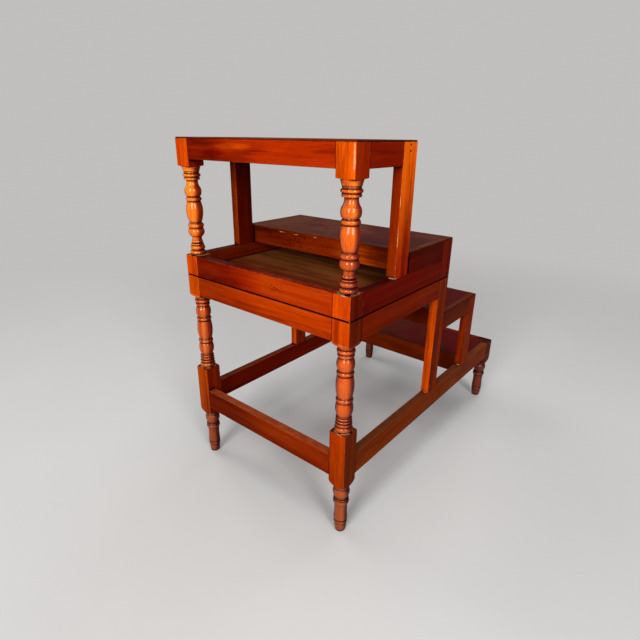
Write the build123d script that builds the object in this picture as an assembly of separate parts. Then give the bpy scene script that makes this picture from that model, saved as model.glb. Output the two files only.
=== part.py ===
from build123d import *
import os
from math import sqrt

# Flip-top library steps in mm, drawn as steps with the top folded up.
# They stand on z = 0. The hinge line runs along x at y = 0, the first step is at -y
# and the tall turned legs are at +y. Left is -x for someone who climbs the steps.

# Overall sizes
width = 424
half_length = 358
seam_height = 450
first_step_height = 178.5
third_step_above_rim = 40.9
closing_gap = 1.6
end_gap = 0.4

# Timber sections
rail_thickness = 18
leg_square = 36
hinge_post_depth = 40
step_post_depth = 36
upper_post_depth = 43
apron_height = 42
first_step_rail_height = 45.5
second_step_rail_height = 42
top_step_rail_height = 39.5
top_block_height = 53.5
stretcher_block_height = 99.5
foot_height = 113.2
apron_pommel_height = 6
arris = 1
corner_round = 3

# Places along the length
second_step_depth = 178
third_step_depth = 179
upper_post_front = 184.5
first_step_back = 184

# Boards and leather
board_thickness = 12
lip_thickness = 2.5
lip_round = 1.6
leather_recess = 1.5
leather_thickness = 1.3
leather_border = 13
leather_gap = 0.2

# Butt hinges
hinge_length = 50
hinge_place = 110
leaf_height = 22
leaf_thickness = 1.8
knuckle_radius = 3.5
knuckle_clearance = 0.5
pin_radius = 1.5
pin_seat_gap = 0.02
running_gap = 0.05
screw_head_radius = 3.2
screw_shank_radius = 1.5
screw_length = 14
screw_slot_width = 0.8
screw_slot_depth = 0.7
screw_gap = 0.05
screws_per_leaf = 3
knuckles_per_hinge = 3

# Wooden pegs that hold the upper posts to the top step
peg_radius = 2
peg_length = 12
peg_recess = 0.4
peg_gap = 0.05
peg_height_shares = (0.875, 0.625)

# Heights and faces that follow from the sizes above
folded_sum = 2 * seam_height - closing_gap
base_top = seam_height - closing_gap / 2
tray_bottom = seam_height + closing_gap / 2
apron_bottom = seam_height - apron_height
tray_rim = seam_height + apron_height
third_step_height = tray_rim + third_step_above_rim
second_step_height = folded_sum - third_step_height
top_step_height = folded_sum - first_step_height
first_rail_bottom = first_step_height - first_step_rail_height
second_rail_bottom = second_step_height - second_step_rail_height
top_rail_bottom = top_step_height - top_step_rail_height
top_block_bottom = top_step_height - top_block_height
stretcher_block_top = first_rail_bottom + stretcher_block_height
side = width / 2
inner_side = side - rail_thickness
leg_inner_side = side - leg_square
leg_front = half_length - leg_square
rear_inner = half_length - rail_thickness
hinge_face = end_gap
hinge_post_back = hinge_face + hinge_post_depth
step_post_back = step_post_depth - second_step_depth
upper_post_back = upper_post_front + upper_post_depth

# Turned profiles, read upwards. Each row is one member of the turning: its height as a share
# of the turned length, then the radius where it ends and its swell, both as shares of half the
# leg's square. A swell below zero is a hollow.
foot_start_share = 0.5
foot_shares = [
    (0.016, 0.578, 0.022),
    (0.140, 0.656, 0.028),
    (0.011, 0.606, 0),
    (0.007, 0.672, 0),
    (0.058, 0.678, 0.061),
    (0.007, 0.622, 0),
    (0.013, 0.633, 0),
    (0.008, 0.739, 0),
    (0.036, 0.744, 0.006),
    (0.189, 0.700, -0.017),
    (0.097, 0.728, 0),
    (0.010, 0.689, 0),
    (0.007, 0.789, 0),
    (0.076, 0.800, 0.067),
    (0.011, 0.722, 0),
    (0.005, 0.789, 0),
    (0.019, 0.789, 0.039),
    (0.008, 0.717, 0),
    (0.035, 0.733, -0.017),
    (0.007, 0.794, 0),
    (0.157, 0.783, 0.128),
    (0.013, 0.717, 0),
    (0.006, 0.789, 0),
    (0.050, 0.789, 0.089),
    (0.009, 0.733, 0),
    (0.003, 0.944, 0),
]
lower_leg_start_share = 0.811
lower_leg_shares = [
    (0.064, 0.800, 0.117),
    (0.008, 0.744, 0),
    (0.033, 0.756, 0.122),
    (0.008, 0.733, 0),
    (0.028, 0.744, 0.106),
    (0.008, 0.717, 0),
    (0.027, 0.717, 0.106),
    (0.011, 0.689, 0),
    (0.156, 0.800, 0.158),
    (0.009, 0.744, 0),
    (0.052, 0.756, 0.128),
    (0.009, 0.722, 0),
    (0.004, 0.778, 0),
    (0.236, 0.811, 0.128),
    (0.011, 0.733, 0),
    (0.050, 0.744, 0.133),
    (0.009, 0.722, 0),
    (0.004, 0.789, 0),
    (0.139, 0.700, 0.158),
    (0.006, 0.800, 0),
    (0.028, 0.800, 0.039),
    (0.009, 0.744, 0),
    (0.051, 0.756, 0.150),
    (0.009, 0.744, 0),
    (0.004, 0.822, 0),
    (0.027, 0.867, -0.017),
]
upper_leg_start_share = 0.756
upper_leg_shares = [
    (0.055, 0.744, 0.133),
    (0.007, 0.694, 0),
    (0.050, 0.706, 0.133),
    (0.006, 0.667, 0),
    (0.016, 0.689, 0.044),
    (0.007, 0.567, 0),
    (0.033, 0.567, 0.067),
    (0.003, 0.550, 0),
    (0.038, 0.600, -0.028),
    (0.095, 0.811, 0.194),
    (0.009, 0.756, 0),
    (0.051, 0.756, 0.128),
    (0.010, 0.667, 0),
    (0.129, 0.925, 0.061),
    (0.101, 0.778, 0.044),
    (0.009, 0.722, 0),
    (0.049, 0.733, 0.139),
    (0.011, 0.711, 0),
    (0.003, 0.811, 0),
    (0.085, 0.850, 0.089),
    (0.086, 0.628, -0.083),
    (0.003, 0.833, 0),
    (0.023, 0.833, 0.033),
    (0.009, 0.794, 0),
    (0.035, 0.806, 0.161),
    (0.007, 0.794, 0),
    (0.009, 0.828, 0.033),
    (0.008, 0.811, 0),
    (0.003, 0.889, 0),
    (0.032, 0.967, -0.022),
    (0.017, 0.978, 0),
]
corner_reach_share = 1.5
pommel_swell_share = 0.2
small_pommel_swell_share = 0.1
shoulder_drop_share = 0.11


def bar(x0, x1, y0, y1, z0, z1):
    # a plain block between two corners
    size = Box(x1 - x0, y1 - y0, z1 - z0)
    return Pos((x0 + x1) / 2, (y0 + y1) / 2, (z0 + z1) / 2) * size


def eased(solid, axis):
    # takes the sharpness off the edges that run along one axis
    return fillet(solid.edges().filter_by(axis), arris)


def mirrored(solid):
    return mirror(solid, about=Plane.YZ)


def left_and_right(name, left_solid):
    return {name + "_left": left_solid, name + "_right": mirrored(left_solid)}


def turned_points(start_share, rows, bottom, length, radius):
    # places the rows of one turned length at their real heights and radii
    total = sum(row[0] for row in rows)
    points = [(bottom, start_share * radius, 0)]
    height = bottom
    for height_share, radius_share, swell_share in rows:
        height += length * height_share / total
        points.append((height, radius_share * radius, swell_share * radius))
    return points


def lathe(points):
    # turns a profile of (height, radius, swell of the stretch below) about the z axis
    edges = [Line((0, 0, points[0][0]), (points[0][1], 0, points[0][0]))]
    for (z0, r0, _), (z1, r1, swell) in zip(points, points[1:]):
        if swell:
            chord = sqrt((z1 - z0) ** 2 + (r1 - r0) ** 2)
            mid_radius = (r0 + r1) / 2 + swell * (z1 - z0) / chord
            mid_height = (z0 + z1) / 2 - swell * (r1 - r0) / chord
            edges.append(ThreePointArc((r0, 0, z0), (mid_radius, 0, mid_height), (r1, 0, z1)))
        else:
            edges.append(Line((r0, 0, z0), (r1, 0, z1)))
    top, rim, _ = points[-1]
    edges.append(Line((rim, 0, top), (0, 0, top)))
    edges.append(Line((0, 0, top), (0, 0, points[0][0])))
    return revolve(make_face(edges), axis=Axis.Z)


def leg_stock(bottom, top):
    # the square stick that a leg is turned from, centred on the z axis
    half = leg_square / 2
    return eased(bar(-half, half, -half, half, bottom, top), Axis.Z)


def at_leg(solid, y):
    return Pos(leg_square / 2 - side, y, 0) * solid


def foot_profile():
    # the turned foot and the rounded lower end of the square above it
    radius = leg_square / 2
    reach = corner_reach_share * radius
    points = turned_points(foot_start_share, foot_shares, 0, foot_height, radius)
    points.append((first_rail_bottom, reach, pommel_swell_share * radius))
    return points


def rear_leg():
    radius = leg_square / 2
    reach = corner_reach_share * radius
    shoulder = shoulder_drop_share * radius
    neck = apron_bottom - apron_pommel_height
    points = foot_profile()
    points.append((stretcher_block_top - shoulder, reach, 0))
    points += turned_points(lower_leg_start_share, lower_leg_shares, stretcher_block_top,
                            neck - stretcher_block_top, radius)
    points.append((apron_bottom, reach, small_pommel_swell_share * radius))
    points.append((base_top, reach, 0))
    leg = lathe(points) & leg_stock(0, base_top)
    return at_leg(leg, half_length - radius)


def front_foot():
    radius = leg_square / 2
    points = foot_profile()
    points.append((first_step_height, corner_reach_share * radius, 0))
    foot = lathe(points) & leg_stock(0, first_step_height)
    return at_leg(foot, radius - half_length) - first_tread_space()


def top_leg():
    radius = leg_square / 2
    reach = corner_reach_share * radius
    shoulder = shoulder_drop_share * radius
    under_lip = top_step_height - lip_thickness
    points = [(tray_bottom, reach, 0), (tray_rim, reach, 0)]
    points += turned_points(upper_leg_start_share, upper_leg_shares, tray_rim,
                            top_block_bottom - tray_rim, radius)
    points.append((top_block_bottom + shoulder, reach, 0))
    points.append((under_lip, reach, 0))
    leg = lathe(points) & leg_stock(tray_bottom, under_lip)
    core = board_core(upper_post_front + rail_thickness, rear_inner, top_step_height)
    return at_leg(leg, half_length - radius) - core


def cross_rail(half_span, y0, y1, z0, z1):
    return eased(bar(-half_span, half_span, y0, y1, z0, z1), Axis.X)


def left_rail(y0, y1, z0, z1):
    return eased(bar(-side, -inner_side, y0, y1, z0, z1), Axis.Y)


def left_post(y0, y1, z0, z1):
    return eased(bar(-side, -inner_side, y0, y1, z0, z1), Axis.Z)


def board_core(y0, y1, top):
    # the thick middle of a step's board, let in between its rails
    under_lip = top - lip_thickness
    return bar(-inner_side, inner_side, y0, y1, under_lip - board_thickness, under_lip)


def lipped_board(y0, y1, inner_y0, inner_y1, top):
    # a step's board: a core between the rails and a thin lip over them, sunk for the leather
    lip = bar(-side, side, y0, y1, top - lip_thickness, top)
    lip = fillet(lip.edges().filter_by(Axis.Z), corner_round)
    lip = fillet(lip.faces().sort_by(Axis.Z)[-1].edges(), lip_round)
    x = side - leather_border
    recess = bar(-x, x, y0 + leather_border, y1 - leather_border, top - leather_recess, top)
    return lip + board_core(inner_y0, inner_y1, top) - recess


def leather_panel(x, y0, y1, top):
    bottom = top - leather_recess
    return bar(leather_gap - x, x - leather_gap, y0 + leather_gap, y1 - leather_gap,
               bottom, bottom + leather_thickness)


def lipped_leather(y0, y1, top):
    return leather_panel(side - leather_border, y0 + leather_border, y1 - leather_border, top)


def first_tread_space():
    # what the lowest step's rails and feet leave for its board and leather
    y0 = rail_thickness - half_length
    y1 = -first_step_back - rail_thickness
    bottom = first_step_height - leather_recess - board_thickness
    return bar(-inner_side, inner_side, y0, y1, bottom, first_step_height)


def flush_board(top, bottom_up):
    # a flush panel between aprons and round the leg blocks
    low, high = (top, top + board_thickness) if bottom_up else (top - board_thickness, top)
    panel = bar(-inner_side, inner_side, hinge_face + rail_thickness, rear_inner, low, high)
    for leg in (-1, 1):
        near, far = sorted((leg * leg_inner_side, leg * side))
        panel -= bar(near, far, leg_front, half_length, low, high)
        near, far = sorted((leg * inner_side, leg * side))
        panel -= bar(near, far, hinge_face, hinge_post_back, low, high)
    return panel


def hinge_cut(x):
    # what one hinge takes out of the two end rails
    reach = knuckle_radius + knuckle_clearance
    length = hinge_length + 2 * knuckle_clearance
    barrel = Pos(x, 0, seam_height) * Rot(0, 90, 0) * Cylinder(reach, length)
    half = hinge_length / 2
    pocket = bar(x - half, x + half, hinge_face, hinge_face + leaf_thickness,
                 seam_height - leaf_height, seam_height + leaf_height)
    return barrel + pocket


def screw_places(x):
    step = hinge_length / screws_per_leaf
    return [x + (i - (screws_per_leaf - 1) / 2) * step for i in range(screws_per_leaf)]


def screw_height(up):
    plate_start = knuckle_radius + knuckle_clearance
    return seam_height + up * (plate_start + leaf_height) / 2


def pilot_holes(x, up):
    holes = []
    for place in screw_places(x):
        middle = hinge_face + screw_length / 2
        hole = Cylinder(screw_shank_radius + screw_gap, screw_length + 2 * screw_gap)
        holes.append(Pos(place, middle, screw_height(up)) * Rot(90, 0, 0) * hole)
    return holes


def end_rail(z0, z1, up):
    # the rail at the hinge line, cut for both hinges and their screws
    rail = cross_rail(inner_side, hinge_face, hinge_face + rail_thickness, z0, z1)
    for x in (-hinge_place, hinge_place):
        rail -= hinge_cut(x)
        for hole in pilot_holes(x, up):
            rail -= hole
    return rail


def hinge_leaf(x, up, segments):
    # one leaf: up is 1 for the top leaf and -1 for the base leaf
    half = hinge_length / 2
    plate_start = knuckle_radius + knuckle_clearance
    low, high = sorted((seam_height + up * plate_start, seam_height + up * leaf_height))
    back = hinge_face + leaf_thickness
    leaf = bar(x - half, x + half, hinge_face, back, low, high)
    segment = hinge_length / knuckles_per_hinge
    bore = pin_radius + (running_gap if up > 0 else pin_seat_gap)
    for index in segments:
        x0 = x - half + index * segment + running_gap
        x1 = x - half + (index + 1) * segment - running_gap
        web_low, web_high = sorted((seam_height, seam_height + up * plate_start))
        leaf += bar(x0, x1, hinge_face, back, web_low, web_high)
        barrel = Cylinder(knuckle_radius, x1 - x0)
        leaf += Pos((x0 + x1) / 2, 0, seam_height) * Rot(0, 90, 0) * barrel
    leaf -= Pos(x, 0, seam_height) * Rot(0, 90, 0) * Cylinder(bore, 2 * hinge_length)
    for place in screw_places(x):
        leaf -= screw_body(place, up, screw_gap, False)
    return leaf


def screw_body(x, up, grow, slotted):
    # a countersunk screw driven in along +y; grow makes the hole that clears it
    head_radius = screw_head_radius + grow
    shank_radius = screw_shank_radius + grow
    depth = leaf_thickness
    head = Cone(shank_radius, head_radius, depth)
    shank = Cylinder(shank_radius, screw_length)
    z = screw_height(up)
    body = Pos(x, hinge_face + depth / 2, z) * Rot(90, 0, 0) * head
    body += Pos(x, hinge_face + screw_length / 2, z) * Rot(90, 0, 0) * shank
    if slotted:
        slot = bar(x - head_radius, x + head_radius, hinge_face, hinge_face + screw_slot_depth,
                   z - screw_slot_width / 2, z + screw_slot_width / 2)
        body -= slot
    return body


def hinge_screws(up):
    screws = []
    for x in (-hinge_place, hinge_place):
        screws += [screw_body(place, up, 0, True) for place in screw_places(x)]
    return Compound(children=screws)


def hinge_pin(x):
    return Pos(x, 0, seam_height) * Rot(0, 90, 0) * Cylinder(pin_radius, hinge_length)


def peg_places():
    # two pegs, one above the other, through each upper post into the end of the top side rail
    y = upper_post_front + upper_post_depth / 2
    rail_height = top_step_height - lip_thickness - top_rail_bottom
    return [(y, top_rail_bottom + share * rail_height) for share in peg_height_shares]


def peg_hole(y, z):
    depth = peg_recess + peg_length
    hole = Cylinder(peg_radius + peg_gap, depth)
    return Pos(depth / 2 - side, y, z) * Rot(0, 90, 0) * hole


def upper_post():
    post = left_post(upper_post_front, upper_post_back, tray_rim, top_step_height - lip_thickness)
    for y, z in peg_places():
        post -= peg_hole(y, z)
    return post


def post_pegs():
    middle = peg_recess + peg_length / 2 - side
    peg = Rot(0, 90, 0) * Cylinder(peg_radius, peg_length)
    left = [Pos(middle, y, z) * peg for y, z in peg_places()]
    return Compound(children=left + [mirrored(peg) for peg in left])


def base_parts():
    post_back = hinge_post_back
    under_lip = second_step_height - lip_thickness
    parts = {}
    parts |= left_and_right("rear_leg", rear_leg())
    parts |= left_and_right("front_foot", front_foot())
    foot_back = leg_square - half_length
    parts |= left_and_right("side_rail", left_rail(foot_back, leg_front, first_rail_bottom,
                                                   first_step_height))
    parts["rear_stretcher"] = cross_rail(leg_inner_side, rear_inner, half_length,
                                         first_rail_bottom, first_step_height)
    parts |= left_and_right("hinge_post", left_post(hinge_face, post_back, first_step_height,
                                                    base_top))
    parts |= left_and_right("step_post", left_post(-second_step_depth, step_post_back,
                                                   first_step_height, under_lip))
    parts |= left_and_right("base_side_apron", left_rail(post_back, leg_front, apron_bottom,
                                                         base_top))
    parts["base_rear_apron"] = cross_rail(leg_inner_side, rear_inner, half_length, apron_bottom,
                                          base_top)
    parts["base_hinge_rail"] = end_rail(apron_bottom, base_top, -1)
    parts["base_top_board"] = flush_board(base_top, False)
    parts |= second_step_parts(under_lip)
    parts |= first_step_parts()
    for name, x in (("left", -hinge_place), ("right", hinge_place)):
        parts["hinge_base_leaf_" + name] = hinge_leaf(x, -1, (0, 2))
        parts["hinge_pin_" + name] = hinge_pin(x)
    parts["hinge_base_screws"] = hinge_screws(-1)
    return parts


def second_step_parts(under_lip):
    front = -second_step_depth
    rail_front = front + rail_thickness
    rail_back = hinge_face - rail_thickness
    parts = {}
    parts |= left_and_right("second_tread_side_rail", left_rail(step_post_back, hinge_face,
                                                                second_rail_bottom, under_lip))
    parts["second_tread_front_rail"] = cross_rail(inner_side, front, rail_front,
                                                  second_rail_bottom, under_lip)
    parts["second_tread_rear_rail"] = cross_rail(inner_side, rail_back, hinge_face,
                                                 second_rail_bottom, under_lip)
    parts["second_tread_board"] = lipped_board(front, hinge_face, rail_front, rail_back,
                                               second_step_height)
    parts["second_tread_leather"] = lipped_leather(front, hinge_face, second_step_height)
    return parts


def first_step_parts():
    y0 = rail_thickness - half_length
    y1 = -first_step_back - rail_thickness
    bottom = first_step_height - leather_recess - board_thickness
    parts = {}
    parts["first_tread_front_rail"] = cross_rail(leg_inner_side, -half_length, y0,
                                                 first_rail_bottom, first_step_height)
    parts["first_tread_rear_rail"] = cross_rail(inner_side, y1, -first_step_back,
                                                first_rail_bottom, first_step_height)
    parts["first_tread_board"] = bar(-inner_side, inner_side, y0, y1, bottom,
                                     bottom + board_thickness)
    parts["first_tread_leather"] = leather_panel(inner_side, y0, y1, first_step_height)
    return parts


def flip_top_parts():
    post_back = hinge_post_back
    parts = {}
    parts |= left_and_right("top_leg", top_leg())
    parts |= left_and_right("upper_post", upper_post())
    parts |= left_and_right("tray_corner_post", left_post(hinge_face, post_back, tray_bottom,
                                                          third_step_height - lip_thickness))
    parts |= left_and_right("tray_side_apron", left_rail(post_back, leg_front, tray_bottom,
                                                         tray_rim))
    parts["tray_rear_apron"] = cross_rail(leg_inner_side, rear_inner, half_length, tray_bottom,
                                          tray_rim)
    parts["tray_hinge_rail"] = end_rail(tray_bottom, tray_rim, 1)
    parts["tray_board"] = flush_board(tray_bottom, True)
    parts |= third_step_parts()
    parts |= top_step_parts()
    for name, x in (("left", -hinge_place), ("right", hinge_place)):
        parts["hinge_top_leaf_" + name] = hinge_leaf(x, 1, (1,))
    parts["hinge_top_screws"] = hinge_screws(1)
    parts["post_pegs"] = post_pegs()
    return parts


def third_step_parts():
    under_lip = third_step_height - lip_thickness
    rail_front = hinge_face + rail_thickness
    rail_back = third_step_depth - rail_thickness
    parts = {}
    parts |= left_and_right("third_tread_side_rail", left_rail(hinge_post_back, third_step_depth,
                                                               tray_rim, under_lip))
    parts["third_tread_front_rail"] = cross_rail(inner_side, hinge_face, rail_front, tray_rim,
                                                 under_lip)
    parts["third_tread_rear_rail"] = cross_rail(inner_side, rail_back, third_step_depth,
                                                tray_rim, under_lip)
    parts["third_tread_board"] = lipped_board(hinge_face, third_step_depth, rail_front, rail_back,
                                              third_step_height)
    parts["third_tread_leather"] = lipped_leather(hinge_face, third_step_depth,
                                                  third_step_height)
    return parts


def top_step_parts():
    under_lip = top_step_height - lip_thickness
    rail_front = upper_post_front + rail_thickness
    parts = {}
    parts |= left_and_right("top_tread_side_rail", left_rail(upper_post_back, leg_front,
                                                             top_rail_bottom, under_lip))
    parts["top_tread_front_rail"] = cross_rail(inner_side, upper_post_front, rail_front,
                                               top_rail_bottom, under_lip)
    parts["top_tread_rear_rail"] = cross_rail(leg_inner_side, rear_inner, half_length,
                                              top_rail_bottom, under_lip)
    parts["top_tread_board"] = lipped_board(upper_post_front, half_length, rail_front, rear_inner,
                                            top_step_height)
    parts["top_tread_leather"] = lipped_leather(upper_post_front, half_length, top_step_height)
    return parts


os.makedirs("parts", exist_ok=True)
for name, solid in (base_parts() | flip_top_parts()).items():
    export_step(solid, "parts/" + name + ".step")
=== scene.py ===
import bpy
from math import cos, radians, sin
from mathutils import Matrix, Vector


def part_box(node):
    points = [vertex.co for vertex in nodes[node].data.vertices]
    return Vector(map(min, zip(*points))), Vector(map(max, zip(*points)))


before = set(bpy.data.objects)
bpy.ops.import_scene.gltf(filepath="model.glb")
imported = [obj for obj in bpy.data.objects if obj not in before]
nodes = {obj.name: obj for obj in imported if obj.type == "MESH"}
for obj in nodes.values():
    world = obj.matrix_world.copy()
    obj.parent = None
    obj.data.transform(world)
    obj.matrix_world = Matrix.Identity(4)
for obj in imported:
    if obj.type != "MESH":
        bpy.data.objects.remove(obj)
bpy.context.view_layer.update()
print("frame loaded with", len(nodes), "nodes")


# small helpers for building materials

def startMaterial(name):
    material = bpy.data.materials.new(name)
    material.use_nodes = True
    tree = material.node_tree
    return material, tree, tree.nodes["Principled BSDF"]


def plug(tree, value, socket):
    # links a socket, or writes a plain value into it
    if isinstance(value, bpy.types.NodeSocket):
        tree.links.new(value, socket)
    else:
        socket.default_value = value


def put(tree, kind, inputs=None, **settings):
    node = tree.nodes.new("ShaderNode" + kind)
    for key, value in settings.items():
        setattr(node, key, value)
    for key, value in (inputs or {}).items():
        plug(tree, value, node.inputs[key])
    return node


def calc(tree, work, a, b=0.0, c=0.0, clamp=False):
    node = put(tree, "Math", operation=work, use_clamp=clamp)
    for socket, value in zip(node.inputs, (a, b, c)):
        plug(tree, value, socket)
    return node.outputs[0]


def vector(tree, work, *values):
    # sums with vectors; a length or a dot product comes out as a plain number
    node = put(tree, "VectorMath", operation=work)
    for socket, value in zip(node.inputs, values):
        plug(tree, value, socket)
    return node.outputs["Value" if work in ("LENGTH", "DOT_PRODUCT") else "Vector"]


def xyzOf(tree, value):
    return put(tree, "SeparateXYZ", inputs={0: value}).outputs


def fade(tree, value, start, end, low=0.0, high=1.0):
    # a smooth step from low at start to high at end
    node = put(tree, "MapRange", interpolation_type="SMOOTHSTEP",
               inputs={"Value": value, "From Min": start, "From Max": end,
                       "To Min": low, "To Max": high})
    return node.outputs["Result"]


def blendColours(tree, share, first, second):
    node = put(tree, "Mix", data_type="RGBA", blend_type="MIX")
    plug(tree, share, node.inputs[0])
    plug(tree, first, node.inputs[6])
    plug(tree, second, node.inputs[7])
    return node.outputs[2]


def times(tree, colour, factors, extra=(0, 0, 0)):
    if not isinstance(colour, bpy.types.NodeSocket):
        colour = colour[:3]
    return vector(tree, "MULTIPLY_ADD", colour, factors, extra)


def opaque(colour):
    return (colour[0], colour[1], colour[2], 1.0)


def noise(tree, where, scale, detail=3.0, rough=0.55, bend=0.0):
    node = put(tree, "TexNoise", inputs={"Vector": where, "Scale": scale, "Detail": detail,
                                         "Roughness": rough, "Distortion": bend})
    return node.outputs["Fac"]


def stretched(tree, where, scale, shift=(0, 0, 0), turn=(0, 0, 0)):
    node = put(tree, "Mapping", inputs={"Vector": where, "Scale": scale, "Location": shift,
                                        "Rotation": turn})
    return node.outputs["Vector"]


def awayFrom(tree, where, middle, reach):
    # distance from the middle of a patch: 1 at its half size, whichever way
    away = vector(tree, "SUBTRACT", where, middle)
    return vector(tree, "LENGTH", vector(tree, "DIVIDE", away, reach))


def bump(tree, height, distance, strength, normal=None, **settings):
    node = put(tree, "Bump", inputs={"Height": height, "Distance": distance,
                                     "Strength": strength}, **settings)
    if normal is not None:
        plug(tree, normal, node.inputs["Normal"])
    return node.outputs[0]


def setShader(tree, shader, values):
    for socket, value in values.items():
        plug(tree, value, shader.inputs[socket])


# mahogany: every timber has its own grain direction, colour and place in the log

mahogany = {
    "stretch": 0.06,             # how much narrower than long the figure is
    "seedShift": (0.37, 0.23, 0.41),  # how far apart in the log two timbers are, metres
    "lean": (1.2, 1.4, 1.2),     # how far askew a timber is cut, degrees
    "sway": 0.02,                # how far the figure wanders, metres
    "swayScale": 11.0,
    "poreShift": (3.1, 1.7, 0.9),
    "cloudStretch": 3.5,
    "flareRagged": 0.9,
    "chipRagged": 2.0,
    "polish": 0.34,              # roughness where the polish is whole
    "dullness": 0.20,            # how much duller it is where it has worn
    "waxDullness": 0.3,
    "gloss": 0.007,              # specular level of the thin polish
    "coat": 0.14,                # roughness of the thick polish on the turned parts
    "coatWeight": 0.7,
    "coatUnderWax": -0.6,        # what old wax takes off the thick polish
    "arris": 0.0018,             # width of the worn arrises, metres
    "waxAndShade": (0.010, 0.0016, 0.0006),   # old wax and dirt in the corners, and painted shade in the grooves and along the seam
    "waxReach": 0.005,
    "paintedHollowShadeReach": 0.014,
    "openSamples": 6,
    "seam": 0.45,                # height of the line where the two halves meet
    "turnedEdge": 0.001,         # half width of the change from square to turned, metres
    "lightSide": (-0.35, 0.935, 0.0),  # painted shade: the turned parts are painted darker on the side that looks away from here
    "ring": (0.42, 0.20, 0.09),  # a pale line round the foot of a turned part
    "grainDepth": 0.00005,
    "grainStrength": 0.6,
    "poreDepth": -0.6,
    "lineDepth": 0.5,
    "waveDepth": 0.0004,
    "waveStrength": 0.35,
}
figureNoise = {                  # scale, detail, roughness, bend
    "figure": (48.0, 2.0, 0.5, 0.5),
    "ribbon": (150.0, 3.0, 0.6, 0.3),
    "lines": (620.0, 4.0, 0.7),
    "pores": (1900.0, 1.0),
    "clouds": (27.0, 3.0, 0.6, 0.8),
    "handled": (21.0, 2.0),
    "dots": (420.0, 2.0),
    "knocks": (620.0, 2.0),
    "topDustAndShade": (55.0, 4.0, 0.7),
    "dull": (15.0, 4.0, 0.6),
    "ragged": (260.0, 3.0, 0.7),
    "wobble": (90.0, 3.0, 0.7),
    "broken": (38.0, 4.0, 0.65),
    "ringBreaks": (90.0, 2.0),
    "waves": (24.0, 2.0),
}
smoothSteps = {                  # where it starts and ends, and the values there if not 0 and 1
    "sideShadeShare": (0.35, 0.9),
    "flare": (1.45, 0.75),
    "paintedShadeAway": (0.98, 0.42),
    "pores": (0.60, 0.72, 0.0, 0.5),
    "handled": (0.54, 0.66, 0.0, 0.7),
    "specks": (1.2, 0.3),
    "dots": (0.56, 0.63),
    "knocks": (0.66, 0.72),
    "lookingUp": (0.6, 0.9),
    "topDustAndShade": (0.25, 0.65, 0.25, 0.75),
    "dull": (0.35, 0.75),
    "wobble": (0.35, 0.75, 0.2, 1.5),
    "broken": (0.47, 0.62, 0.12, 1.0),
    "paintedHollowShade": (0.92, 0.55, 0.0, 0.75),
    "joint": (0.0011, 0.0003, 0.0, 0.7),
    "waxAndShade": (0.97, 0.56, 0.0, 0.96),
    "turnedWaxAndShade": (0.97, 0.74, 0.0, 0.96),
    "seam": (0.0023, 0.0012, 0.0, 0.94),
    "ringOut": (0.0190, 0.0184),
    "ringBreaks": (0.42, 0.54),
    "ringUp": (0.0010, 0.0005),
    "chip": (1.85, 1.55),
    "shine": (0.25, 0.75, 0.2, 1.0),
}
mood = {                         # how dark or pale the figure runs: shares of its noises
    "figure": 0.50, "ribbon": 0.30, "lines": 0.40, "clouds": 0.35, "middle": 0.585,
    "dark": (0.01, -0.12), "pale": (0.0, 0.14),     # where dark and pale start and are full
}
tints = {                        # what the timber's own colour is multiplied by, and what is added
    "darker": ((0.46, 0.34, 0.4),),
    "paler": ((1.25, 1.75, 2.0), (0.01, 0.004, 0.001)),
    "paintedShadeAway": ((0.26, 0.08, 0.2),),
    "pore": ((0.22, 0.22, 0.22),),
    "dot": ((0.25, 0.2, 0.2),),
    "knock": ((0.15, 0.15, 0.15),),
    "dustyShadedTop": ((0.09, 0.04, 0.06), (0.005, 0.0005, 0.0002)),
    "bareAndHighlit": ((0.9, 1.6, 2.0), (0.12, 0.12, 0.06)),
    "joint": ((0.12, 0.08, 0.08),),
}


def woodNoise(tree, name, where):
    return noise(tree, where, *figureNoise[name])


def smooth(tree, name, value):
    return fade(tree, value, *smoothSteps[name])


def tinted(tree, colour, name):
    return times(tree, colour, *tints[name])


def openness(tree, reach):
    # 1 where nothing stands near, less in corners and hollows
    return put(tree, "AmbientOcclusion", samples=mahogany["openSamples"],
               inputs={"Distance": reach}).outputs["AO"]


def tone(tree, high, pair):
    # one colour, or two: near the top of the piece and near its foot
    if isinstance(pair[0], tuple):
        return blendColours(tree, high, opaque(pair[1]), opaque(pair[0]))
    return opaque(pair)


def edgeNearness(tree, where, box, width, wobble):
    # 1 on the arrises of a straight timber, fading out over the given width
    low = xyzOf(tree, vector(tree, "SUBTRACT", where, box[0]))
    high = xyzOf(tree, vector(tree, "SUBTRACT", box[1], where))
    x, y, z = [calc(tree, "ABSOLUTE", calc(tree, "MINIMUM", low[i], high[i])) for i in range(3)]
    # the middle one of the three distances is how far the nearest arris is
    inner = calc(tree, "MINIMUM", calc(tree, "MAXIMUM", x, y), z)
    middle = calc(tree, "MAXIMUM", calc(tree, "MINIMUM", x, y), inner)
    reach = calc(tree, "MULTIPLY", wobble, width)
    return calc(tree, "SUBTRACT", 1.0, calc(tree, "DIVIDE", middle, reach, clamp=True), clamp=True)


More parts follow.
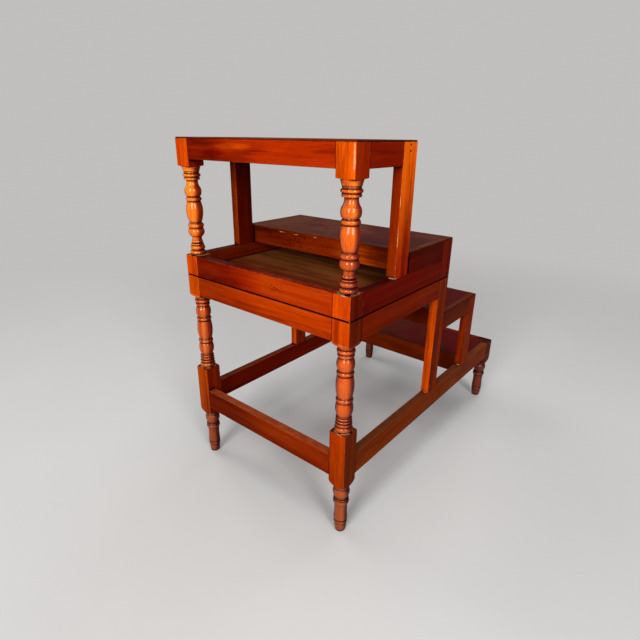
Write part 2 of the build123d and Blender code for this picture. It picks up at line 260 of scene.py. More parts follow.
def logFigure(tree, where, grain, seed, streaks):
    # the figure at the timber's own place in the log, and how dark or pale it runs
    m = mahogany
    along = [m["stretch"] if axis == grain else 1 for axis in "xyz"]
    shift = [seed * apart for apart in m["seedShift"]]
    lean = [radians(degrees * turn) for degrees, turn in
            zip(m["lean"], (sin(seed), cos(seed * 2), sin(seed * 3)))]
    log = stretched(tree, where, along, shift, lean)
    sway = put(tree, "TexNoise", inputs={"Vector": log, "Scale": m["swayScale"], "Detail": 1.0})
    log = vector(tree, "MULTIPLY_ADD", sway.outputs["Color"], (m["sway"],) * 3, log)
    figure, ribbon, lines = [woodNoise(tree, name, log) for name in ("figure", "ribbon", "lines")]
    pores = woodNoise(tree, "pores", stretched(tree, log, (1, 1, 1), m["poreShift"]))
    wide = (m["cloudStretch"], 1, 1) if grain == "x" else (1, 1, 1)
    clouds = woodNoise(tree, "clouds", stretched(tree, log, wide))
    run = calc(tree, "MULTIPLY", figure, mood["figure"])
    run = calc(tree, "MULTIPLY_ADD", ribbon, mood["ribbon"], run)
    run = calc(tree, "MULTIPLY_ADD", lines, mood["lines"] * streaks, run)
    run = calc(tree, "MULTIPLY_ADD", clouds, mood["clouds"], run)
    return ribbon, lines, pores, run


def turnedShare(tree, height, low, high):
    edge = mahogany["turnedEdge"]
    return calc(tree, "MULTIPLY", fade(tree, height, low - edge, low + edge),
                fade(tree, height, high + edge, high - edge))


def figured(tree, plain, run, pores, streaks, contrast):
    # dark and pale figure, and the pores
    middle = mood["middle"] + mood["lines"] / 2 * streaks
    colour = plain
    for side, tint in (("dark", "darker"), ("pale", "paler")):
        start, full = mood[side]
        share = fade(tree, run, middle + start, middle + full, 0.0, contrast)
        colour = blendColours(tree, share, colour, tinted(tree, plain, tint))
    return blendColours(tree, smooth(tree, "pores", pores), colour, tinted(tree, plain, "pore"))


def handledColour(tree, colour, plain, where, specks):
    # small knocks, gathered where the piece was handled most
    handled = smooth(tree, "handled", woodNoise(tree, "handled", where))
    if specks:                   # and where the pores are open and dark
        gathered = smooth(tree, "specks", awayFrom(tree, where, *specks))
        handled = calc(tree, "MAXIMUM", handled, gathered)
        dots = woodNoise(tree, "dots", stretched(tree, where, (0.5, 1, 1)))
        dots = calc(tree, "MULTIPLY", smooth(tree, "dots", dots), gathered)
        colour = blendColours(tree, dots, colour, tinted(tree, plain, "dot"))
    knocks = smooth(tree, "knocks", woodNoise(tree, "knocks", where))
    knocks = calc(tree, "MULTIPLY", knocks, handled)
    return blendColours(tree, knocks, colour, tinted(tree, plain, "knock"))


def endLines(tree, colour, plain, xyz, grain, box):
    # the joint at each end shows as a thin dark line
    run, axis = xyz[grain.upper()], "xyz".index(grain)
    fromEnd = calc(tree, "MINIMUM", calc(tree, "SUBTRACT", run, box[0][axis]),
                   calc(tree, "SUBTRACT", box[1][axis], run))
    return blendColours(tree, smooth(tree, "joint", fromEnd), colour, tinted(tree, plain, "joint"))


def paleFootRing(tree, colour, where, xyz, box, rings):
    # a pale line round the foot of each turned part, broken in places
    middle = [(box[0][i] + box[1][i]) / 2 for i in range(2)]
    out = put(tree, "CombineXYZ", inputs={0: calc(tree, "SUBTRACT", xyz["X"], middle[0]),
                                          1: calc(tree, "SUBTRACT", xyz["Y"], middle[1])})
    near = smooth(tree, "ringOut", vector(tree, "LENGTH", out.outputs[0]))
    breaks = smooth(tree, "ringBreaks", woodNoise(tree, "ringBreaks", where))
    near = calc(tree, "MULTIPLY", near, breaks)
    for height in rings:
        off = calc(tree, "ABSOLUTE", calc(tree, "SUBTRACT", xyz["Z"], height))
        share = calc(tree, "MULTIPLY", near, smooth(tree, "ringUp", off))
        colour = blendColours(tree, share, colour, opaque(mahogany["ring"]))
    return colour


def makeMahogany(name, grain, main, seed, box=None, side=None, turned=(), wear=0.5,
                 streaks=0.5, contrast=0.6, polish=mahogany["polish"], chips=(), shade=None,
                 top=None, rings=(), flares=(), specks=None):
    m = mahogany
    material, tree, shader = startMaterial(name)
    place = put(tree, "TexCoord").outputs
    where = place["Object"]
    xyz, facing = xyzOf(tree, where), xyzOf(tree, place["Normal"])
    toLight = vector(tree, "DOT_PRODUCT", place["Normal"], m["lightSide"])
    ribbon, lines, pores, run = logFigure(tree, where, grain, seed, streaks)

    # the timber's own colour, another one on the faces across it, which also carries painted
    # shade, and the turned parts
    high = fade(tree, xyz["Z"], box[0][2], box[1][2]) if box else 0.5
    timber = tone(tree, high, main)
    plain = timber
    if side:
        sideShadeShare = smooth(tree, "sideShadeShare", calc(tree, "ABSOLUTE", facing["X"]))
        plain = blendColours(tree, sideShadeShare, timber, tone(tree, high, side))
    for spot, reach, strength in flares:        # a wide soft patch, brighter or darker; on the third step's rear rail it is painted light
        away = awayFrom(tree, where, spot, reach)
        share = smooth(tree, "flare", calc(tree, "MULTIPLY_ADD", ribbon, m["flareRagged"], away))
        plain = blendColours(tree, share, plain, times(tree, timber, strength))
    allTurned = 0.0
    for low, upTo, strength in turned:
        inside = turnedShare(tree, xyz["Z"], low, upTo)
        body = times(tree, timber, strength)
        # painted shade: the turned body is darker on its side away from the light
        body = blendColours(tree, smooth(tree, "paintedShadeAway", toLight), body,
                            tinted(tree, body, "paintedShadeAway"))
        plain = blendColours(tree, inside, plain, body)
        allTurned = calc(tree, "ADD", allTurned, inside)
    if shade:                    # one end of the timber is darker
        axis, start, end, share = shade
        share = fade(tree, xyz[axis], start, end, 0.0, share)
        plain = blendColours(tree, share, plain, tinted(tree, plain, "darker"))

    colour = figured(tree, plain, run, pores, streaks, contrast)
    colour = handledColour(tree, colour, plain, where, specks)
    # faces that look up take another colour: dust, with painted shade on most and painted sheen on
    # a few
    topDustAndShade = smooth(tree, "topDustAndShade", woodNoise(tree, "topDustAndShade", where))
    topDustAndShade = calc(tree, "MULTIPLY", smooth(tree, "lookingUp", facing["Z"]), topDustAndShade)
    dustyShadedTop = opaque(top) if top else tinted(tree, plain, "dustyShadedTop")
    colour = blendColours(tree, topDustAndShade, colour, dustyShadedTop)
    if box:                      # the arrises are worn to the bare wood, here and there; the pale lines also stand in for the highlights along them (painted highlight)
        wobble = smooth(tree, "wobble", woodNoise(tree, "wobble", where))
        worn = edgeNearness(tree, where, box, m["arris"], wobble)
        broken = smooth(tree, "broken", woodNoise(tree, "broken", where))
        worn = calc(tree, "MULTIPLY", calc(tree, "MULTIPLY", worn, broken), wear)
        colour = blendColours(tree, worn, colour, tinted(tree, plain, "bareAndHighlit"))
    # painted shade: hollows and corners are darkened
    paintedHollowShade = smooth(tree, "paintedHollowShade", openness(tree, m["paintedHollowShadeReach"]))
    colour = blendColours(tree, paintedHollowShade, colour, tinted(tree, plain, "darker"))
    if box:
        colour = endLines(tree, colour, plain, xyz, grain, box)
    # old wax, and painted shade in the grooves and along the seam between the halves
    waxAndShadeShare = smooth(tree, "turnedWaxAndShade" if turned else "waxAndShade", openness(tree, m["waxReach"]))
    fromSeam = calc(tree, "ABSOLUTE", calc(tree, "SUBTRACT", xyz["Z"], m["seam"]))
    waxAndShadeShare = calc(tree, "MAXIMUM", waxAndShadeShare, smooth(tree, "seam", fromSeam))
    colour = blendColours(tree, waxAndShadeShare, colour, opaque(m["waxAndShade"]))
    if rings:
        colour = paleFootRing(tree, colour, where, xyz, box, rings)
    ragged = woodNoise(tree, "ragged", where)
    for spot, reach, paint in chips:
        away = awayFrom(tree, where, spot, reach)
        share = smooth(tree, "chip", calc(tree, "MULTIPLY_ADD", ragged, m["chipRagged"], away))
        colour = blendColours(tree, share, colour, opaque(paint))

    rough = fade(tree, woodNoise(tree, "dull", where), *smoothSteps["dull"], polish,
                 polish + m["dullness"])
    rough = calc(tree, "MULTIPLY_ADD", waxAndShadeShare, m["waxDullness"], rough, clamp=True)
    height = calc(tree, "MULTIPLY_ADD", pores, m["poreDepth"],
                  calc(tree, "MULTIPLY", lines, m["lineDepth"]))
    normal = bump(tree, height, m["grainDepth"], m["grainStrength"])
    normal = bump(tree, woodNoise(tree, "waves", where), m["waveDepth"], m["waveStrength"], normal)
    setShader(tree, shader, {"Base Color": colour, "Roughness": rough, "Normal": normal,
                             "Specular IOR Level": m["gloss"]})
    if turned:                   # thick glossy polish, on the turned parts only
        shine = calc(tree, "MULTIPLY_ADD", waxAndShadeShare, m["coatUnderWax"], m["coatWeight"])
        shine = calc(tree, "MULTIPLY", allTurned, shine)
        shine = calc(tree, "MULTIPLY", shine, smooth(tree, "shine", toLight))
        setShader(tree, shader, {"Coat Weight": shine, "Coat Roughness": m["coat"]})
    return material


def dress(node, material):
    if not nodes[node].material_slots:
        nodes[node].data.materials.append(None)
    for slot in nodes[node].material_slots:
        slot.link = "OBJECT"
        slot.material = material


def dressTimber(node, grain, **look):
    low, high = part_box(node)
    dress(node, makeMahogany(node + "Wood", grain, box=(tuple(low), tuple(high)), **look))


# A look's colours are linear. main and side are one colour, or one at the top and one at the
# foot; side is for the faces that look left and right, and carries painted shade as well as the
# wood's tone. chips and flares give a middle, a half size each way and a colour or what multiplies
# the colour. turned gives a low height, a high one and what multiplies the colour between them,
# and rings the heights of the pale lines. shade gives an axis, where the darkening starts and is
# full, and its share.

dust = (0.60, 0.42, 0.27)
chipped = (0.62, 0.30, 0.11)
rubbed = (0.80, 0.36, 0.12)
scratched = (0.05, 0.004, 0.001)

# turned legs and feet, glossier than the flat timbers, with old wax and painted shade in their
# grooves

turnedTop = ((0.5557, 0.6660, (1.20, 1.75, 0.3)), (0.4922, 0.5557, (0.98, 1.45, 0.3)))
turnedRear = ((0.2325, 0.4062, (1.20, 1.75, 0.3)), (0.0, 0.1132, (1.25, 2.0, 0.5)))
turnedFoot = ((0.0, 0.1132, (1.0, 1.0, 1.0)),)
turnedLegs = {
    "rear_leg_left": {
        "seed": 3, "main": ((0.63, 0.054, 0.0008), (0.25, 0.022, 0.0005)),
        "side": ((0.131, 0.010, 0.0002), (0.135, 0.0150, 0.0003)), "turned": turnedRear,
        "rings": (0.2328,),
        "chips": (((-0.2118, 0.3578, 0.4494), (0.0016, 0.0016, 0.0008), dust),
                  ((-0.1980, 0.3577, 0.2318), (0.0070, 0.0010, 0.0012), (0.70, 0.30, 0.18)))},
    "rear_leg_right": {
        "seed": 11, "main": ((0.62, 0.070, 0.0008), (0.24, 0.025, 0.0008)),
        "side": (0.16, 0.010, 0.0003),
        "turned": ((0.2325, 0.4062, (1.3, 1.8, 1.0)), (0.0, 0.1132, (1.25, 1.8, 1.0))),
        "rings": (0.2328,)},
    "top_leg_left": {
        "seed": 6, "main": ((0.84, 0.096, 0.0010), (0.71, 0.064, 0.0008)),
        "side": ((0.320, 0.016, 0.0003), (0.160, 0.0088, 0.0002)), "turned": turnedTop,
        "wear": 1.3, "rings": (0.4926,),
        "chips": (((-0.2118, 0.3578, 0.4508), (0.0016, 0.0016, 0.0008), dust),
                  ((-0.1990, 0.3578, 0.4916), (0.0080, 0.0010, 0.0013), (0.70, 0.34, 0.22)),
                  # a pale band along the arris of the top block: painted highlight
                  ((-0.2095, 0.3579, 0.6960), (0.0020, 0.0012, 0.0260), (0.90, 0.40, 0.20)),
                  ((-0.2100, 0.3579, 0.7184), (0.0060, 0.0010, 0.0018), dust),
                  ((-0.1790, 0.3579, 0.7190), (0.0030, 0.0010, 0.0014), dust))},
    "top_leg_right": {"seed": 17, "main": (0.76, 0.072, 0.0008), "side": (0.20, 0.010, 0.0003),
                      "turned": ((0.4922, 0.6660, (1.4, 3.1, 1.0)),), "rings": (0.4926,)},
    "front_foot_left": {"seed": 9, "main": (0.20, 0.020, 0.0006), "side": (0.12, 0.010, 0.0003),
                        "turned": turnedFoot},
    "front_foot_right": {"seed": 21, "main": (0.16, 0.014, 0.0004), "side": (0.10, 0.007, 0.0003),
                         "turned": turnedFoot},
}
legLook = {"wear": 0.6, "streaks": 0.8, "contrast": 0.8, "polish": 0.24}
for name, look in turnedLegs.items():
    dressTimber(name, "z", **{**legLook, **look})
print("turned legs polished")

# rails and aprons: grain runs along each of them

rails = {
    "top_tread_rear_rail": {
        "grain": "x", "main": (0.47, 0.026, 0.0004), "seed": 31, "contrast": 0.8,
        "shade": ("X", 0.03, 0.13, 1.0),
        "flares": (((0.045, 0.358, 0.706), (0.060, 0.02, 0.007), (1.45, 2.6, 1.5)),
                   ((-0.020, 0.358, 0.700), (0.050, 0.02, 0.0022), (0.55, 0.4, 0.5)),
                   ((0.100, 0.358, 0.694), (0.045, 0.02, 0.009), (0.62, 0.25, 0.5)))},
    "tray_rear_apron": {"grain": "x", "main": (0.43, 0.028, 0.0004), "seed": 32,
                        "shade": ("X", -0.02, 0.12, 1.0), "contrast": 0.8,
                        "specks": ((-0.045, 0.358, 0.474), (0.030, 0.02, 0.012)),
                        "flares": (((0.05, 0.358, 0.48), (0.09, 0.02, 0.05), (0.84, 0.55, 0.5)),)},
    "base_rear_apron": {"grain": "x", "main": (0.52, 0.042, 0.0004), "seed": 33,
                        "shade": ("X", -0.02, 0.14, 0.75), "contrast": 0.8},
    # the stretcher's top colour is paler: painted sheen
    "rear_stretcher": {"grain": "x", "main": (0.25, 0.0205, 0.001), "seed": 34,
                       "top": (0.50, 0.10, 0.03), "shade": ("X", -0.04, 0.10, 0.75)},
    "top_tread_side_rail_left": {"grain": "y", "main": (0.25, 0.010, 0.0002), "seed": 35},
    "top_tread_side_rail_right": {"grain": "y", "main": (0.28, 0.009, 0.0002), "seed": 36},
    "tray_side_apron_left": {"grain": "y", "main": (0.136, 0.004, 0.0001), "seed": 37},
    "tray_side_apron_right": {"grain": "y", "main": (0.15, 0.012, 0.0004), "seed": 38},
    "base_side_apron_left": {"grain": "y", "main": (0.197, 0.012, 0.0002), "seed": 39},
    "base_side_apron_right": {"grain": "y", "main": (0.20, 0.006, 0.0001), "seed": 40},
    # the side rails' top colours: dust and painted sheen
    "side_rail_left": {"grain": "y", "main": (0.21, 0.028, 0.0008), "seed": 41,
                       "top": (0.17, 0.052, 0.020)},
    "side_rail_right": {"grain": "y", "main": (0.13, 0.006, 0.0003), "seed": 42,
                        "top": (0.24, 0.050, 0.016)},
    "third_tread_side_rail_left": {"grain": "y", "main": (0.088, 0.0030, 0.0001), "seed": 43},
    "third_tread_side_rail_right": {"grain": "y", "main": (0.082, 0.0014, 0.0001), "seed": 44},
    "third_tread_rear_rail": {
        "grain": "x", "main": (0.23, 0.018, 0.0006), "seed": 45, "shade": ("X", 0.0, 0.14, 0.6),
        "contrast": 1.0, "specks": ((0.06, 0.179, 0.515), (0.09, 0.02, 0.03)),
        # the bright patch at the near end is painted light
        "flares": (((-0.11, 0.179, 0.505), (0.09, 0.02, 0.04), (2.0, 3.2, 1.3)),),
        "chips": (((0.108, 0.1792, 0.5268), (0.0110, 0.0016, 0.0012), chipped),
                  ((0.066, 0.1792, 0.5262), (0.0090, 0.0016, 0.0010), chipped),
                  ((0.012, 0.1792, 0.5274), (0.0050, 0.0016, 0.0008), chipped))},
    "third_tread_front_rail": {"grain": "x", "main": (0.40, 0.036, 0.0006), "seed": 46},
    "top_tread_front_rail": {"grain": "x", "main": (0.40, 0.030, 0.0006), "seed": 47},
    "tray_hinge_rail": {"grain": "x", "main": (0.34, 0.030, 0.0006), "seed": 48},
    "base_hinge_rail": {"grain": "x", "main": (0.34, 0.030, 0.0006), "seed": 49},
    "second_tread_side_rail_left": {"grain": "y", "main": (0.120, 0.011, 0.0002), "seed": 50},
    "second_tread_side_rail_right": {"grain": "y", "main": (0.095, 0.006, 0.0002), "seed": 51},
    "second_tread_front_rail": {"grain": "x", "main": (0.42, 0.036, 0.0006), "seed": 52},
    "second_tread_rear_rail": {"grain": "x", "main": (0.16, 0.012, 0.0005), "seed": 53},
    "first_tread_front_rail": {"grain": "x", "main": (0.42, 0.036, 0.0006), "seed": 54},
    "first_tread_rear_rail": {"grain": "x", "main": (0.17, 0.017, 0.0006), "seed": 55},
}
railWear = 0.35
for name, look in rails.items():
    dressTimber(name, wear=railWear, **look)

# posts: straight-grained, more orange and more worn

posts = {
    "upper_post_left": {
        # main carries the painted shadow of the near leg; side is this post's own pale orange
        "main": (0.27, 0.018, 0.0004), "side": ((1.0, 0.132, 0.002), (0.38, 0.016, 0.0005)),
        "seed": 61, "wear": 0.9,
        "chips": (((-0.2050, 0.2278, 0.4925), (0.0080, 0.0030, 0.0012), dust),
                  ((-0.2120, 0.2240, 0.4925), (0.0020, 0.0040, 0.0012), dust),
                  ((-0.2120, 0.2268, 0.5600), (0.0010, 0.0012, 0.0180), rubbed),
                  ((-0.2120, 0.2268, 0.6250), (0.0010, 0.0012, 0.0120), rubbed),
                  ((-0.2120, 0.2080, 0.5290), (0.0015, 0.0060, 0.0006), scratched),
                  ((-0.2120, 0.2120, 0.5265), (0.0015, 0.0006, 0.0040), scratched))},
    "upper_post_right": {"main": (0.31, 0.029, 0.0004), "side": (0.11, 0.005, 0.0002), "seed": 62},
    "hinge_post_left": {"main": (0.62, 0.064, 0.0006), "side": (0.20, 0.0163, 0.0002), "seed": 63,
                        "chips": (((-0.2050, 0.0408, 0.1788), (0.0050, 0.0040, 0.0014), dust),)},
    "hinge_post_right": {"main": (0.66, 0.070, 0.0006), "side": (0.21, 0.016, 0.0004), "seed": 64},
    "step_post_left": {"main": (0.26, 0.023, 0.0004), "side": (0.22, 0.018, 0.0002), "seed": 65,
                       "chips": (((-0.2050, -0.1412, 0.1788), (0.0050, 0.0060, 0.0014), dust),)},
    "step_post_right": {"main": (0.26, 0.023, 0.0004), "side": (0.20, 0.012, 0.0002), "seed": 66},
    "tray_corner_post_left": {"main": (0.156, 0.0054, 0.0001), "seed": 67, "wear": 0.4},
    "tray_corner_post_right": {"main": (0.156, 0.0054, 0.0001), "seed": 68, "wear": 0.4},
}
postLook = {"streaks": 1.0, "contrast": 0.85}
for name, look in posts.items():
    dressTimber(name, "z", **postLook, **look)
print("rails and posts polished")

# boards: dark edges on the steps, and the plain board of the low table

boards = {
    "top_tread_board": {"main": (0.125, 0.014, 0.002), "seed": 71},
    "third_tread_board": {"main": (0.130, 0.020, 0.004), "seed": 72},
    "second_tread_board": {"main": (0.120, 0.016, 0.003), "seed": 73},
    "first_tread_board": {"main": (0.120, 0.016, 0.003), "seed": 74},
}
tableBoard = {"main": (0.36, 0.034, 0.001), "seed": 75}
stepBoard = {"wear": 0.3, "top": (0.12, 0.020, 0.005)}
dressTimber("base_top_board", "x", **tableBoard)
for name, look in boards.items():
    dressTimber(name, "x", **stepBoard, **look)

# the tray's board was never polished: red-brown in front, olive and dusty behind

trayWood = {
    "front": (0.25, 0.006, 0.0004), "back": (0.29, 0.085, 0.018), "dark": (0.09, 0.018, 0.003),
    "dust": (0.13, 0.09, 0.05), "rough": 0.60, "gloss": 0.02,
    "stretch": (0.06, 1, 1), "shift": (0.4, 0.2, 0.1), "lean": 1.5,
    "figure": (40.0, 3.0, 0.6, 0.8), "lines": (420.0, 4.0, 0.7),
    "clouds": (17.0, 4.0, 0.6, 0.4), "specks": (120.0, 5.0, 0.75),
    "figureShare": 0.6, "lineShare": 0.4, "darkStep": (0.54, 0.40, 0.0, 0.8),
    "dustStep": (0.52, 0.78, 0.0, 0.45), "turnsAt": (0.30, 0.20), "wander": 0.16,
    "grainDepth": 0.0002, "grainStrength": 0.7,
}


def makeTrayWood(name):
    t = trayWood
    material, tree, shader = startMaterial(name)
    where = put(tree, "TexCoord").outputs["Object"]
    log = stretched(tree, where, t["stretch"], t["shift"], (0, 0, radians(t["lean"])))
    figure, lines = noise(tree, log, *t["figure"]), noise(tree, log, *t["lines"])
    # the change of colour wanders to and fro along the board
    depth = calc(tree, "SUBTRACT", xyzOf(tree, where)["Y"], t["wander"] / 2)
    depth = calc(tree, "MULTIPLY_ADD", noise(tree, where, *t["clouds"]), t["wander"], depth)
    colour = blendColours(tree, fade(tree, depth, *t["turnsAt"]), opaque(t["front"]),
                          opaque(t["back"]))
    run = calc(tree, "MULTIPLY", lines, t["lineShare"])
    run = calc(tree, "MULTIPLY_ADD", figure, t["figureShare"], run)
    colour = blendColours(tree, fade(tree, run, *t["darkStep"]), colour, opaque(t["dark"]))
    dusty = fade(tree, noise(tree, where, *t["specks"]), *t["dustStep"])
    colour = blendColours(tree, dusty, colour, opaque(t["dust"]))
    normal = bump(tree, lines, t["grainDepth"], t["grainStrength"])
    setShader(tree, shader, {"Base Color": colour, "Roughness": t["rough"], "Normal": normal,
                             "Specular IOR Level": t["gloss"]})
    return material


dress("tray_board", makeTrayWood("trayBoardWood"))
print("boards finished")

# leather: each step has aged in its own way, and its colours carry painted sheen and shade as well

leathers = {
    "top_tread_leather": {"base": (0.150, 0.020, 0.012), "fadedSheenShade": (0.22, 0.055, 0.036),
                          "fade": 0.35, "seed": 1},
    "third_tread_leather": {"base": (0.078, 0.008, 0.005), "fadedSheenShade": (0.18, 0.062, 0.034),
                            "fade": 0.8, "seed": 2},
    "second_tread_leather": {"base": (0.095, 0.002, 0.002), "fadedSheenShade": (0.12, 0.016, 0.009),
                             "fade": 0.7, "seed": 3},
    "first_tread_leather": {"base": (0.112, 0.001, 0.003), "fadedSheenShade": (0.095, 0.021, 0.010),
                            "fade": 0.9, "seed": 4},
}
leatherGrain = {
    "size": 750.0, "smoothness": 0.6, "depth": 0.00012, "strength": 0.5,
    "waves": (16.0, 2.0), "waveDepth": 0.0012, "waveStrength": 0.4,
    "rough": 0.54, "worn": 0.16, "gloss": 0.02, "roughStep": (0.3, 0.7),
    "clouds": (11.0, 5.0, 0.62, 0.3), "cloudStep": (0.38, 0.66),
    "farStep": (-0.12, 0.12, -0.06, 0.12),      # the far ends take more of the second colour: fading, with painted sheen on the third step and painted shade on the first
    "scuffs": (130.0, 5.0, 0.7), "scuffStretch": (1, 0.35, 1), "scuffStep": (0.58, 0.78),
    "scuffShare": 0.35, "scuffPale": 1.5,
    "creaseStep": (0.25, 0.75, 0.0, 0.4), "creaseDark": 0.4,
    "seedShift": (0.7, 0.3, 0),
}


def scaled(colour, factor):
    return opaque([c * factor for c in colour])


def makeLeather(name, look):
    g = leatherGrain
    material, tree, shader = startMaterial(name)
    place = put(tree, "TexCoord").outputs["Object"]
    shift = [look["seed"] * apart for apart in g["seedShift"]]
    where = stretched(tree, place, (1, 1, 1), shift)
    pebbles = put(tree, "TexVoronoi", feature="SMOOTH_F1",
                  inputs={"Vector": where, "Scale": g["size"], "Smoothness": g["smoothness"]})
    pebbles = pebbles.outputs["Distance"]
    scuffs = noise(tree, stretched(tree, where, g["scuffStretch"]), *g["scuffs"])
    far = fade(tree, xyzOf(tree, place)["X"], *g["farStep"])
    clouds = calc(tree, "ADD", noise(tree, where, *g["clouds"]), far)
    share = fade(tree, clouds, *g["cloudStep"], 0.0, look["fade"])
    colour = blendColours(tree, share, opaque(look["base"]), opaque(look["fadedSheenShade"]))
    share = fade(tree, scuffs, *g["scuffStep"], 0.0, g["scuffShare"] * look["fade"])
    colour = blendColours(tree, share, colour, scaled(look["fadedSheenShade"], g["scuffPale"]))
    creases = fade(tree, pebbles, *g["creaseStep"])
    colour = blendColours(tree, creases, colour, scaled(look["base"], g["creaseDark"]))
    rough = fade(tree, clouds, *g["roughStep"], g["rough"], g["rough"] + g["worn"])
    normal = bump(tree, pebbles, g["depth"], g["strength"], invert=True)
    normal = bump(tree, noise(tree, where, *g["waves"]), g["waveDepth"], g["waveStrength"], normal)
    setShader(tree, shader, {"Base Color": colour, "Roughness": rough, "Normal": normal,
                             "Specular IOR Level": g["gloss"]})
    return material


for name, look in leathers.items():
    dress(name, makeLeather(name + "Skin", look))
print("leather laid")

# hinges, screws and pins

metals = {
    "brass": {"colour": (0.58, 0.36, 0.11), "dirt": (0.16, 0.08, 0.03), "rough": 0.34},
    "steel": {"colour": (0.45, 0.44, 0.42), "dirt": (0.12, 0.09, 0.07), "rough": 0.30},
}
metalWear = {
    "spots": (160.0, 5.0, 0.7), "dirtStep": (0.50, 0.75, 0.0, 0.8), "roughStep": (0.4, 0.8),
    "dullness": 0.3, "brushed": (1800.0, 2.0), "brushStretch": (0.05, 1, 1),
    "brushDepth": 0.00003, "brushStrength": 0.5,
}


def makeMetal(name, look):
    w = metalWear
    material, tree, shader = startMaterial(name)
    where = put(tree, "TexCoord").outputs["Object"]
    spots = noise(tree, where, *w["spots"])
    brushed = noise(tree, stretched(tree, where, w["brushStretch"]), *w["brushed"])
    colour = blendColours(tree, fade(tree, spots, *w["dirtStep"]), opaque(look["colour"]),
                          opaque(look["dirt"]))
    rough = fade(tree, spots, *w["roughStep"], look["rough"], look["rough"] + w["dullness"])
    normal = bump(tree, brushed, w["brushDepth"], w["brushStrength"])
    setShader(tree, shader, {"Base Color": colour, "Roughness": rough, "Normal": normal,
                             "Metallic": 1.0})
    return material


brass = makeMetal("agedBrass", metals["brass"])
steel = makeMetal("pinSteel", metals["steel"])
for name in nodes:
    if name.startswith(("hinge_base", "hinge_top")):
        dress(name, brass)
    elif name.startswith("hinge_pin"):
        dress(name, steel)

pegs = {"main": (0.05, 0.006, 0.001), "seed": 81, "polish": 0.45}
dress("post_pegs", makeMahogany("pegWood", "x", **pegs))
print("hinges and pegs finished")

# floor, background and lights

floorLook = {
    "radius": 16.0, "sides": 96, "shown": (0.78, 0.77, 0.755), "bounced": (0.14, 0.13, 0.12),
    "clouds": (3.0, 4.0), "cloudStep": (0.3, 0.7, 0.0, 0.5), "cloudShade": 0.97,
    "rough": 0.7, "gloss": 0.15,
    "blendsOut": (0.9, 2.4),     # from here to here it turns into the background, metres
}
backLook = {"colour": (0.53, 0.523, 0.512), "fill": 0.05}


def seenRays(tree):
    # 1 where the floor or background is looked at, straight or in a reflection, and 0 for the
    # light that bounces from it
    rays = put(tree, "LightPath").outputs
    seen = calc(tree, "MAXIMUM", rays["Is Camera Ray"], rays["Is Glossy Ray"])
    return calc(tree, "MAXIMUM", seen, rays["Is Transmission Ray"])


def mixShaders(tree, share, first, second, output):
    mix = put(tree, "MixShader", inputs={0: share, 1: first.outputs[0], 2: second.outputs[0]})
    plug(tree, mix.outputs[0], output.inputs["Surface"])


def makeFloor():
    f = floorLook
    material, tree, shader = startMaterial("paleFloor")
    where = put(tree, "TexCoord").outputs["Object"]
    seen = seenRays(tree)
    shown = blendColours(tree, fade(tree, noise(tree, where, *f["clouds"]), *f["cloudStep"]),
                         opaque(f["shown"]), scaled(f["shown"], f["cloudShade"]))
    colour = blendColours(tree, seen, opaque(f["bounced"]), shown)
    setShader(tree, shader, {"Base Color": colour, "Roughness": f["rough"],
                             "Specular IOR Level": f["gloss"]})
    # far from the object the floor takes the background's own colour
    far = fade(tree, vector(tree, "LENGTH", where), *f["blendsOut"])
    glow = put(tree, "Emission", inputs={"Color": opaque(backLook["colour"]), "Strength": 1.0})
    mixShaders(tree, calc(tree, "MULTIPLY", far, seen), shader, glow,
               tree.nodes["Material Output"])
    return material


def makeWorld():
    world = bpy.data.worlds.new("studio")
    bpy.context.scene.world = world
    world.use_nodes = True
    tree = world.node_tree
    tree.nodes.clear()
    shown = put(tree, "Background", inputs={"Color": opaque(backLook["colour"]), "Strength": 1.0})
    filling = put(tree, "Background", inputs={"Color": (1, 1, 1, 1), "Strength": backLook["fill"]})
    mixShaders(tree, seenRays(tree), filling, shown, put(tree, "OutputWorld"))


bpy.ops.mesh.primitive_circle_add(vertices=floorLook["sides"], radius=floorLook["radius"],
                                  fill_type="NGON")
floor = bpy.context.object
floor.name = "floor"
floor.data.materials.append(makeFloor())
makeWorld()

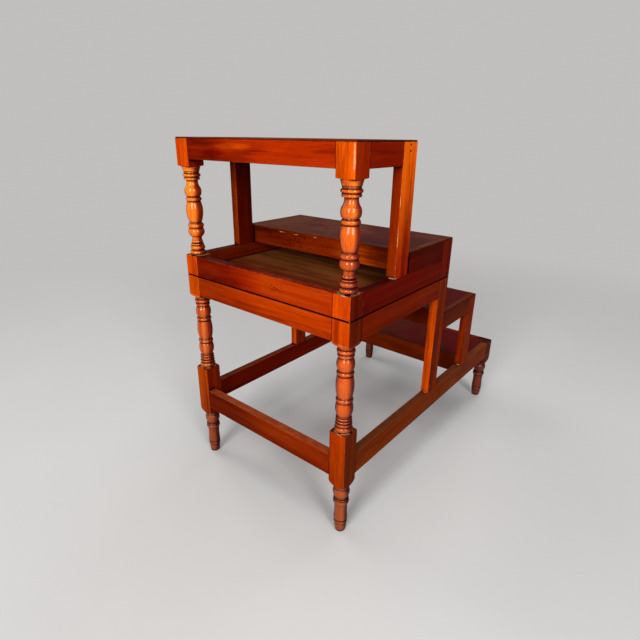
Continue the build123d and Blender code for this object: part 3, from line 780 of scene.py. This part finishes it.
softboxes = {                    # level 1 lights a white face that looks at the lamp to white
    "leftBox": {"turn": 26, "rise": 18, "away": 4.0, "size": (1.4, 1.85), "level": 0.66},
    "rightBox": {"turn": -23, "rise": 18, "away": 4.0, "size": (1.1, 1.85), "level": 0.48},
    "topBox": {"turn": 0, "rise": 80, "away": 4.0, "size": (2.2, 2.2), "level": 0.24},
    "farSideBox": {"turn": 129, "rise": 32, "away": 4.0, "size": (2.4, 1.8), "level": 0.22},
    "stepsBox": {"turn": -141, "rise": 50, "away": 4.0, "size": (2.4, 1.8), "level": 0.15},
}
aim = Vector((0, 0.1, 0.38))     # the lamps look at this point of the object
wattsPerLevel = 9.87             # for a lamp one metre away
camera = {                       # fitted to the photograph's edges; angles in degrees
    "place": (-0.6041, 0.9117, 0.7245), "yaw": 39.29, "pitch": 21.74, "roll": 0.69,
    "lens": 26.0, "sensor": 36,
}


def addSoftbox(name, look):
    # turn is counted from the camera's side of the object, to the left
    ahead = radians(camera["yaw"])
    towardCamera = Vector((-sin(ahead), cos(ahead), 0))
    leftward = Vector((cos(ahead), sin(ahead), 0))
    turn, rise = radians(look["turn"]), radians(look["rise"])
    flat = towardCamera * cos(turn) + leftward * sin(turn)
    direction = flat * cos(rise) + Vector((0, 0, sin(rise)))
    lamp = bpy.data.lights.new(name, "AREA")
    lamp.shape = "RECTANGLE"
    lamp.size, lamp.size_y = look["size"]
    lamp.energy = look["level"] * wattsPerLevel * look["away"] ** 2
    box = bpy.data.objects.new(name, lamp)
    box.visible_camera = False
    bpy.context.collection.objects.link(box)
    box.location = aim + direction * look["away"]
    box.rotation_euler = direction.to_track_quat("Z", "Y").to_euler()


def addCamera():
    yaw, pitch, roll = [radians(camera[k]) for k in ("yaw", "pitch", "roll")]
    forward = Vector((sin(yaw) * cos(pitch), -cos(yaw) * cos(pitch), -sin(pitch)))
    right = Vector((-cos(yaw), -sin(yaw), 0))
    up = right.cross(forward)
    right, up = right * cos(roll) + up * sin(roll), up * cos(roll) - right * sin(roll)
    data = bpy.data.cameras.new("photoCamera")
    data.lens = camera["lens"]
    data.sensor_width = camera["sensor"]
    photoCamera = bpy.data.objects.new("photoCamera", data)
    bpy.context.collection.objects.link(photoCamera)
    turn = Matrix((right, up, -forward)).transposed().to_4x4()
    photoCamera.matrix_world = Matrix.Translation(camera["place"]) @ turn
    bpy.context.scene.camera = photoCamera


for name, look in softboxes.items():
    addSoftbox(name, look)
addCamera()
bpy.context.scene.view_settings.view_transform = "Standard"
print("floor, lights and camera placed")
